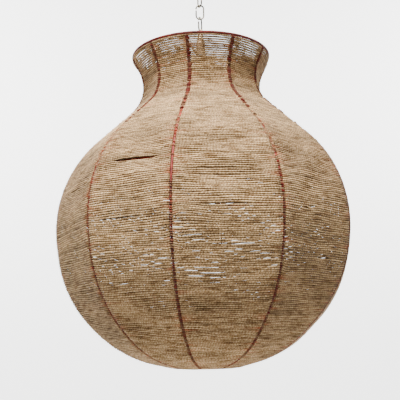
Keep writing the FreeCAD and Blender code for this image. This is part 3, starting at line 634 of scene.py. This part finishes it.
def lay_map(mesh, lines, rng):
    """UV map "lay": U is the length along the strand in metres, V the turns round it.

    Each strand's twist starts at a chance place and is a little tighter or slacker.
    Returns the number of sides of a strand."""
    point_count = sum(len(points) for points, _ in lines)
    sides = len(mesh.vertices) // point_count
    along = []
    for points, _ in lines:
        steps = np.linalg.norm(np.diff(points, axis=0), axis=1) * rng.uniform(0.85, 1.2)
        along.append(np.concatenate([[0], np.cumsum(steps)]) + rng.uniform(0, 40))
    along = np.concatenate(along)
    corner = np.zeros(len(mesh.loops), np.int32)
    mesh.loops.foreach_get("vertex_index", corner)
    turn = (corner % sides) / sides
    length = along[corner // sides]
    starts = np.zeros(len(mesh.polygons), np.int32)
    counts = np.zeros(len(mesh.polygons), np.int32)
    mesh.polygons.foreach_get("loop_start", starts)
    mesh.polygons.foreach_get("loop_total", counts)
    face = np.repeat(np.arange(len(starts)), counts)
    # the face that closes the round runs to 1, not back to 0
    highest = np.zeros(len(starts))
    np.maximum.at(highest, face, turn)
    turn = np.where((turn == 0) & (highest[face] > 0.7), 1.0, turn)
    lay = mesh.uv_layers.new(name="lay")
    lay.data.foreach_set("uv", np.stack([length, turn], axis=1).astype(np.float32).ravel())
    return sides


def point_values(mesh, name, lines, values, sides):
    """A value for each point of each line, given to the ring of vertices round it."""
    held = mesh.attributes.new(name, "FLOAT", "POINT")
    flat = np.concatenate(
        [np.broadcast_to(value, len(points)) for (points, _), value in zip(lines, values)]
    )
    held.data.foreach_set("value", np.repeat(flat, sides).astype(np.float32))


def flank_values(mesh, lines, downs, sides):
    """How far each vertex lies towards the neighbouring rows: 0 in the middle, 1 at the touch."""
    places = np.zeros(len(mesh.vertices) * 3, np.float32)
    mesh.vertices.foreach_get("co", places)
    centres = np.repeat(np.concatenate([points for points, _ in lines]), sides, axis=0)
    across = np.concatenate(
        [np.tile(down, (len(points), 1)) for (points, _), down in zip(lines, downs)]
    )
    across = np.repeat(across, sides, axis=0)
    away = places.reshape(-1, 3) - centres
    reach = np.abs((away * across).sum(axis=1)) / np.linalg.norm(away, axis=1)
    held = mesh.attributes.new("flank", "FLOAT", "POINT")
    held.data.foreach_set("value", reach.astype(np.float32))


def wander(rng, along, lengths, size):
    """Smooth unevenness along a row: a few waves of those lengths, with chance phases."""
    total = np.zeros_like(along)
    for wave in lengths:
        total += np.sin(along / wave * 2 * np.pi + rng.uniform(0, 2 * np.pi)) * rng.normal(0, 1)
    return total * size / math.sqrt(len(lengths))


def drift(rng):
    """A slow unevenness that neighbouring rows share, as a function of row and length along it."""
    waves = [
        (rng.uniform(14, 44) * rng.choice((-1, 1)), rng.uniform(0.07, 0.2), rng.uniform())
        for _ in range(7)
    ]

    def value(row, along):
        turns = [row / rows + along / length + phase for rows, length, phase in waves]
        return sum(np.sin(2 * np.pi * turn) for turn in turns) / math.sqrt(len(waves))

    return value


ROW_POINTS = 23
RIM_TUCK, BODY_TUCK = 1.3 * MM, 2.1 * MM  # from the rib's middle to a row's end
RIM_TUCK_SHARE = 0.13  # share of the rows that end as at the rim
END_SINK = 0.5 * MM  # a row's ends dip this far below the line, and its middle lies on it
END_EASE = 4 * MM  # length over which an end comes up
ROUND_REACH = 34 * MM  # the rows follow the round rim down to here
LOOSE_REACH = 90 * MM  # scale over which the winding loosens below the rim
BODY_FROM = 75 * MM  # below this the rows are the body's
BODY_FULLNESS, RIM_FULLNESS = 1.04, 1.08  # a six-sided strand is fatter, to touch its neighbour
STAINED_SHARE = 0.25  # of the rows, whose ends took up paint


def panel_rows(index, rng):
    """The rows of one panel: lines, the way down the panel at each, and their tones and stains."""
    twine = bpy.context.scene.lantern_twine
    first, last = rib_line(index), rib_line(index + 1)
    rows = row_count()
    shares = np.linspace(0, 1, ROW_POINTS)
    sag, shading = drift(rng), drift(rng)
    lines, downs, tones, stains = [], [], [], []
    foot = min(first.line[-1, 1], last.line[-1, 1])
    for row in range(-1 if index > 3 else 0, rows + 1 if index < 6 else rows):
        # the winding comes down by one row in each turn, and begins and ends with a level one
        start = min(1, max(0, row + index / RIB_COUNT) / rows) * first.length
        end = min(1, max(0, row + (index + 1) / RIB_COUNT) / rows) * last.length
        tuck = RIM_TUCK if row < RIM_TUCK_SHARE * rows else BODY_TUCK
        a = first.point(start, tuck, -END_SINK)
        b = last.point(end, -tuck, -END_SINK)
        width = (b - a).length
        along = shares * width
        down_a = first.point(start + MM, tuck, -END_SINK) - a
        down_b = last.point(end + MM, -tuck, -END_SINK) - b
        down = (down_a + down_b).normalized()
        outward = (b - a).cross(down).normalized()
        if outward.dot(first.out + last.out) < 0:
            outward = -outward
        ease = np.clip(np.minimum(along, width - along) / END_EASE, 0, 1)
        ease = ease * ease * (3 - 2 * ease)
        lift = END_SINK * ease
        # the top rows still follow the round rim, and are wound tighter
        follow = max(0.0, 1 - start / ROUND_REACH) ** 1.3
        loose = twine.looseness * (0.06 + 0.94 * min(1.0, max(0.0, start / LOOSE_REACH - 0.6)))
        points = np.array([a + (b - a) * share for share in shares])
        radius = np.linalg.norm(points[:, :2], axis=1)
        even = np.linspace(a.xy.length, b.xy.length, len(shares))
        points[:, :2] *= (1 + follow * (even / radius - 1))[:, None]
        aside = wander(rng, along, (0.09, 0.045, 0.021), 0.36 * loose)
        aside += 2.2 * loose * sag(row, along)
        proud = wander(rng, along, (0.08, 0.03, 0.013), 0.35 * loose)
        slit = np.array(
            [opening(index, a.z + (b.z - a.z) * share - foot, share, width) for share in shares]
        )
        points += np.outer((aside + slit) * ease, down)
        points += np.outer(lift + proud * ease, outward)
        full = BODY_FULLNESS if index == 0 or start > BODY_FROM else RIM_FULLNESS
        thick = full + wander(rng, along, (0.05, 0.017), 0.06) + rng.normal(0, 0.025)
        lines.append((points, np.clip(thick, 0.75, 1.25)))
        downs.append(down)
        tone = 1 + rng.normal(0, 0.13) + wander(rng, along, (0.11, 0.03), 0.04)
        tone = tone + 0.09 * shading(row, along)
        tones.append(np.clip(tone, 0.66, 1.3))
        near = np.exp(-np.minimum(along, width - along) / rng.uniform(3 * MM, 11 * MM))
        stains.append(near * (rng.uniform() < STAINED_SHARE) * rng.uniform(0.2, 0.7))
    return lines, downs, tones, stains


class LANTERN_OT_twine(bpy.types.Operator):
    """Winds the rows of jute twine between the ribs"""

    bl_idname = "lantern.twine"
    bl_label = "Twine rows"

    def execute(self, context):
        settings = context.scene.lantern_twine
        jute = jute_material("natural_jute_twine", settings, "#9A4A30")
        for index, panel in enumerate(PANELS):
            rng = np.random.default_rng(context.scene.lantern_stage.seed * 100 + index)
            lines, downs, tones, stains = panel_rows(index, rng)
            piece = strands("twine_rows_%02d" % (index + 1), lines, settings.thickness / 2)
            sides = lay_map(piece.data, lines, rng)
            point_values(piece.data, "tone", lines, tones, sides)
            point_values(piece.data, "stain", lines, stains, sides)
            flank_values(piece.data, lines, downs, sides)
            piece.data.shade_smooth()
            piece.data.materials.append(jute)
            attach(piece, "lantern")
            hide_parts(panel)
        return {"FINISHED"}


# Stretches of bare wire, where the loops have slipped apart: rib, and heights above the lowest row.
BARE = ((0, 262, 298),)

RIB_WIRE = 1.65 * MM  # its radius
LOOP_POINTS = 10
# Where each stretch of a rib begins, in millimetres above the lowest row, from here to there.
LIP_FROM, SHOULDER_FROM, BELLY_BELOW = (375, 435), (285, 315), (200, 290)
SLIPPED, SLIPPED_IN_FRONT = 0.05, 0.5  # share of the loops that have slipped out of sight


def loops_on(index, rng):
    """The loops that hold the rows on one rib."""
    loop = bpy.context.scene.lantern_frame.loop_thickness / 2
    thickness = bpy.context.scene.lantern_twine.thickness
    line = rib_line(index)
    rows = row_count()
    lines, tones, stains = [], [], []
    foot = line.line[-1, 1]
    turns = np.linspace(0, 2 * np.pi, LOOP_POINTS + 1)[:-1]
    for row in range(rows):
        length = (row + index / RIB_COUNT) / rows * line.length + rng.normal(0, 0.25 * MM)
        place, normal = line.at(length)
        height = place[1] - foot
        if any(rib == index and low * MM < height < high * MM for rib, low, high in BARE):
            continue
        lip = height > rng.uniform(*LIP_FROM) * MM
        shoulder = not lip and height > rng.uniform(*SHOULDER_FROM) * MM
        if rng.uniform() < (SLIPPED_IN_FRONT if shoulder and index == 0 else SLIPPED):
            continue
        centre = line.point(length, 0, -thickness / 2)
        outward = line.out * normal[0] + Vector((0, 0, normal[1]))
        down = line.side.cross(outward).normalized()
        size = RIB_WIRE + loop * rng.uniform(0.75, 1.0) + (0.55 * MM if lip else 0)
        lean = rng.uniform(0.1, 0.45) * MM
        points = [
            centre
            + outward * math.cos(turn) * size
            + line.side * math.sin(turn) * size
            + down * math.sin(turn) * lean
            for turn in turns
        ]
        thick = rng.uniform(0.8, 1.15) * (1.6 if lip else 1)
        lines.append((np.array(points), np.full(len(turns), thick)))
        # painted shade and light by height: the loops are darkest at the lip, which faces down, and
        # on the belly, and brightest on the lit shoulder; the stain is red paint soaked up from the
        # wire, least on the shoulder
        belly = height < rng.uniform(*BELLY_BELOW) * MM
        middle = 0.36 if lip else 1.1 if shoulder else 0.5 if belly else 0.72
        tones.append(rng.uniform(0.8, 1.25) * middle)
        soaked = 0.5 if belly else 0.72 if not shoulder else 0.6 if index == 0 else 0.3
        stains.append(np.clip(rng.normal(soaked, 0.22), 0, 1))
    return lines, tones, stains


class LANTERN_OT_loops(bpy.types.Operator):
    """Loops the twine round each rib where a row crosses it"""

    bl_idname = "lantern.loops"
    bl_label = "Twine loops on the ribs"

    def execute(self, context):
        settings = context.scene.lantern_frame
        jute = jute_material("tight_stained_jute_with_painted_shade", context.scene.lantern_twine, "#8A3224")
        for index in range(RIB_COUNT):
            rng = np.random.default_rng(context.scene.lantern_stage.seed * 500 + index)
            lines, tones, stains = loops_on(index, rng)
            name = "rib_loops_%02d" % (index + 1)
            piece = strands(name, lines, settings.loop_thickness / 2, True)
            sides = lay_map(piece.data, lines, rng)
            point_values(piece.data, "tone", lines, tones, sides)
            point_values(piece.data, "stain", lines, stains, sides)
            piece.data.shade_smooth()
            piece.data.materials.append(jute)
            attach(piece, "lantern")
        return {"FINISHED"}


# ---------------------------------------------------------------- frame, chain and fittings


class LANTERN_OT_wire_frame(bpy.types.Operator):
    """Paints the ribs, rings, hoop and spider arms"""

    bl_idname = "lantern.wire_frame"
    bl_label = "Wire frame"

    def execute(self, context):
        frame_red = tuple(context.scene.lantern_frame.paint)
        red = painted_wire_material("oxide_red_painted_wire", frame_red)
        for name in RIBS + ARMS + ["rim_ring", "base_ring"]:
            paint(name, red)
        # painted light: the hoop lies in shade inside the twine, so it gets a brighter copy of the
        # red paint
        painted_light_red = tuple(min(1.0, c * 1.5) for c in frame_red)
        paint("belly_hoop", painted_wire_material("painted_light_red_wire", painted_light_red))
        return {"FINISHED"}


class LANTERN_OT_chain(bpy.types.Operator):
    """Finishes the chain, the hook and the ceiling plate"""

    bl_idname = "lantern.chain"
    bl_label = "Chain and hook"

    def execute(self, context):
        # nickel plating on drawn steel wire: bright, with dull patches where it has been handled
        plated = worn_metal_material("dulled_nickel_plated_steel", "#8F8878", "#3F3B35", 0.34)
        for name in ("chain_link_1", "chain_link_2", "chain_link_3", "ceiling_hook"):
            paint(name, plated)
        # sprayed and baked enamel on sheet steel: smooth, faintly pebbled
        enamel = moulded_material("white_baked_enamel", "#E9E8E3", "#E1E0DA", 0.35, 500.0, 0.1)
        paint("ceiling_plate", enamel)
        return {"FINISHED"}


class LANTERN_OT_fittings(bpy.types.Operator):
    """Finishes the hanging loop, the threaded tube, its nuts and washers, and the hub"""

    bl_idname = "lantern.fittings"
    bl_label = "Loop, tube and hub"

    def execute(self, context):
        # cast brass that has gone dull and pinkish brown with handling
        brass = worn_metal_material("tarnished_cast_brass", "#C9A987", "#9A7B5E", 0.38)
        paint("hanging_loop", brass)
        # zinc plated steel: grey, slightly spangled
        zinc = worn_metal_material("zinc_plated_steel", "#C6C8C8", "#9A9D9E", 0.34, 180.0)
        for name in ("threaded_nipple", "upper_nut", "lower_nut", "upper_washer", "lower_washer"):
            paint(name, zinc)
        paint("hub_plate", zinc)
        return {"FINISHED"}


class LANTERN_OT_lampholder(bpy.types.Operator):
    """Finishes the lampholder's shell, insert and contacts"""

    bl_idname = "lantern.lampholder"
    bl_label = "Lampholder"

    def execute(self, context):
        # compression-moulded phenolic: near black, low sheen, very fine grain
        phenolic = moulded_material("moulded_phenolic", "#1B1A19", "#262422", 0.38, 700.0, 0.12)
        paint("holder_cap", phenolic)
        paint("holder_shell", phenolic)
        # glazed porcelain: off-white and glossy with a faint orange-peel skin
        porcelain = moulded_material("glazed_porcelain", "#EDEAE2", "#E2DED4", 0.14, 240.0, 0.1)
        paint("holder_insert", porcelain)
        brass = worn_metal_material("pressed_brass", "#D9B36C", "#A98544", 0.26)
        for name in ("screw_sleeve", "centre_contact", "terminal_screws"):
            paint(name, brass)
        return {"FINISHED"}


class LANTERN_OT_bulb(bpy.types.Operator):
    """Finishes the bulb's glass, cap, insulator and contact"""

    bl_idname = "lantern.bulb"
    bl_label = "Bulb"

    def execute(self, context):
        paint("bulb_glass", frosted_glass_material())
        # rolled aluminium with a thin thread: bright, brushed by the die
        rolled = worn_metal_material("rolled_aluminium", "#D8D9DB", "#B4B6B9", 0.28)
        paint("bulb_cap", rolled)
        fused = moulded_material("fused_black_glass", "#101013", "#1A1A1F", 0.1, 300.0, 0.05)
        paint("bulb_insulator", fused)
        # a blob of soft solder: grey, dull, a little lumpy
        solder = worn_metal_material("soft_solder", "#B5B5B2", "#8C8C8A", 0.45, 120.0)
        paint("bulb_contact", solder)
        return {"FINISHED"}


# ---------------------------------------------------------------- stage


CAMERA_ASIDE = -6.09 * MM
CAMERA_BELOW_RIM = 484 * MM
CAMERA_PITCH, CAMERA_ROLL = 10.614, -1.086  # degrees up from level, and round its own axis


class LANTERN_OT_camera(bpy.types.Operator):
    """Sets the camera below the lantern's widest level, looking up a little"""

    bl_idname = "lantern.camera"
    bl_label = "Camera"

    def execute(self, context):
        settings = context.scene.lantern_stage
        lens = bpy.data.cameras.new("camera")
        lens.lens = settings.lens
        lens.sensor_width = 36
        lens.clip_start = 0.01
        rim_low, rim_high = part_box("rim_ring")
        level = (rim_low.z + rim_high.z) / 2 - CAMERA_BELOW_RIM
        place = Matrix.Translation((CAMERA_ASIDE, -settings.distance, level))
        pitch = Matrix.Rotation(math.radians(90 + CAMERA_PITCH), 4, "X")
        roll = Matrix.Rotation(math.radians(CAMERA_ROLL), 4, "Z")
        camera = bpy.data.objects.new("camera", lens)
        camera.matrix_world = place @ pitch @ roll
        context.scene.collection.objects.link(camera)
        context.scene.camera = camera
        return {"FINISHED"}


def area_light(name, place, target, size, power):
    """A soft square light of a size in metres and a power in watts, facing a target."""
    light = bpy.data.lights.new(name, "AREA")
    light.size = size
    light.energy = power
    lamp = bpy.data.objects.new(name, light)
    lamp.matrix_world = Matrix.Translation(place) @ (
        (Vector(target) - Vector(place)).to_track_quat("-Z", "Y").to_matrix().to_4x4()
    )
    bpy.context.scene.collection.objects.link(lamp)


FLOOR_DROP = 1.45  # from the lantern's foot to the floor
FLOOR_HALF = 6.0
FLOOR_BEHIND = 1.2  # from the lantern's axis to where the floor begins to curve
BEND_RADIUS, BEND_STEPS = 1.5, 12
WALL_HEIGHT = 4.0
GLOW = 0.7  # strength that the backdrop adds for the camera alone
SURROUND, SEEN_SURROUND = 0.23, 1.6  # strengths of the world, for the piece and for the camera


class LANTERN_OT_stage(bpy.types.Operator):
    """Builds the pale floor that curves up into a backdrop, and the studio light"""

    bl_idname = "lantern.stage"
    bl_label = "Stage"

    def execute(self, context):
        floor = bmesh.new()
        level = CAD_BOX[0][2] - FLOOR_DROP
        corners = [floor.verts.new((x, -FLOOR_HALF, level)) for x in (-FLOOR_HALF, FLOOR_HALF)]
        edges = [floor.edges.new(corners)]
        stride = BEND_RADIUS * math.pi / 2 / BEND_STEPS
        leans = [math.radians(90 / BEND_STEPS * (step + 0.5)) for step in range(BEND_STEPS)]
        bend = [(0, math.cos(lean) * stride, math.sin(lean) * stride) for lean in leans]
        for move in [(0, FLOOR_HALF + FLOOR_BEHIND, 0), *bend, (0, 0, WALL_HEIGHT)]:
            turned = bmesh.ops.extrude_edge_only(floor, edges=edges)["geom"]
            moved = [item for item in turned if isinstance(item, bmesh.types.BMVert)]
            edges = [item for item in turned if isinstance(item, bmesh.types.BMEdge)]
            bmesh.ops.translate(floor, verts=moved, vec=move)
        bmesh.ops.recalc_face_normals(floor, faces=floor.faces)
        mesh = bpy.data.meshes.new("backdrop")
        floor.to_mesh(mesh)
        floor.free()
        mesh.shade_smooth()
        backdrop = bpy.data.objects.new("backdrop", mesh)
        context.scene.collection.objects.link(backdrop)
        paper, tree, shader = new_material("pale_paper", Roughness=0.9)
        shader.inputs["Base Color"].default_value = linear("#F4F4F3")
        # it is seen brighter than the light that it throws back on the piece
        seen = node(tree, "ShaderNodeLightPath")
        glow = node(
            tree, "ShaderNodeMath", {"operation": "MULTIPLY", 1: GLOW}, {0: (seen, "Is Camera Ray")}
        )
        shader.inputs["Emission Color"].default_value = (1, 1, 1, 1)
        tree.links.new(glow.outputs[0], shader.inputs["Emission Strength"])
        mesh.materials.append(paper)
        world = bpy.data.worlds.new("soft_surround")
        context.scene.world = world
        world.use_nodes = True
        tree = world.node_tree
        # a dim surround lights the piece, and a pale one is seen past the edge of the floor
        dim = tree.nodes["Background"]
        dim.inputs["Color"].default_value = (1, 1, 1, 1)
        dim.inputs["Strength"].default_value = SURROUND
        pale = node(
            tree, "ShaderNodeBackground", {"Color": (1, 1, 1, 1), "Strength": SEEN_SURROUND}
        )
        seen = node(tree, "ShaderNodeLightPath")
        both = node(
            tree,
            "ShaderNodeMixShader",
            links={0: (seen, "Is Camera Ray"), 1: (dim, 0), 2: (pale, 0)},
        )
        tree.links.new(both.outputs[0], tree.nodes["World Output"].inputs["Surface"])
        middle = (0, 0, (CAD_BOX[0][2] + CAD_BOX[1][2]) / 2)
        area_light("key_light", (-1.1, -1.9, 1.7), middle, 1.3, 98)
        area_light("top_light", (-0.15, -0.9, 1.8), middle, 1.2, 265)
        area_light("backdrop_left", (-1.9, 1.0, 0.9), (-0.9, 4.0, 0.5), 1.6, 150)
        area_light("backdrop_right", (1.9, 1.2, 0.9), (0.9, 4.0, 0.5), 1.6, 120)
        return {"FINISHED"}


# ---------------------------------------------------------------- panel and start


STEPS = (
    LANTERN_OT_camera,
    LANTERN_OT_stage,
    LANTERN_OT_wire_frame,
    LANTERN_OT_chain,
    LANTERN_OT_fittings,
    LANTERN_OT_lampholder,
    LANTERN_OT_bulb,
    LANTERN_OT_twine,
    LANTERN_OT_loops,
)


class LANTERN_PT_panel(bpy.types.Panel):
    """Lists the lantern's settings and pieces"""

    bl_idname = "LANTERN_PT_panel"
    bl_label = "Twine lantern"
    bl_space_type = "VIEW_3D"
    bl_region_type = "UI"
    bl_category = "Lantern"

    def draw(self, context):
        for group in (
            context.scene.lantern_twine,
            context.scene.lantern_frame,
            context.scene.lantern_stage,
        ):
            for name in group.bl_rna.properties.keys():
                if name not in ("rna_type", "name"):
                    self.layout.prop(group, name)
        for step in STEPS:
            self.layout.operator(step.bl_idname)


CLASSES = (TwineSettings, FrameSettings, StageSettings, *STEPS, LANTERN_PT_panel)


def register():
    for item in CLASSES:
        bpy.utils.register_class(item)
    bpy.types.Scene.lantern_twine = PointerProperty(type=TwineSettings)
    bpy.types.Scene.lantern_frame = PointerProperty(type=FrameSettings)
    bpy.types.Scene.lantern_stage = PointerProperty(type=StageSettings)


def unregister():
    del bpy.types.Scene.lantern_stage
    del bpy.types.Scene.lantern_frame
    del bpy.types.Scene.lantern_twine
    for item in reversed(CLASSES):
        bpy.utils.unregister_class(item)


def main():
    register()
    for step in STEPS:
        family, name = step.bl_idname.split(".")
        getattr(getattr(bpy.ops, family), name)()
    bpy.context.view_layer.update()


if __name__ == "__main__":
    main()
